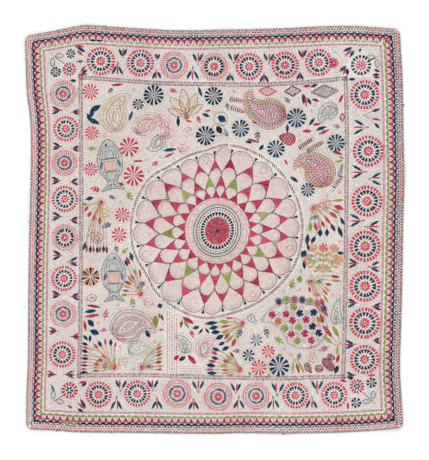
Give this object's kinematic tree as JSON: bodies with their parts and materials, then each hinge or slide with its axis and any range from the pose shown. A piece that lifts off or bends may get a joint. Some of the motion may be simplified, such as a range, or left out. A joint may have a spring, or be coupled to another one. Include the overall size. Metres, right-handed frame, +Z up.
{
  "type": "kantha quilt",
  "caption": "Square kantha quilt of layered cotton lying flat, with an uneven overcast rim, stitched border bands, wheel rosettes and a padded lotus in the middle.",
  "frame": {"origin": "middle of the sheet's outline, on the surface it rests on", "axes": "+Z up through the sheet, +Y along its longer side towards the top edge of the design"},
  "size_m": [0.8326, 0.8976, 0.0076],
  "materials": {
    "cotton": "matte"
  },
  "bodies": {
    "root": {"quilt": "cotton"}
  },
  "joints": []
}
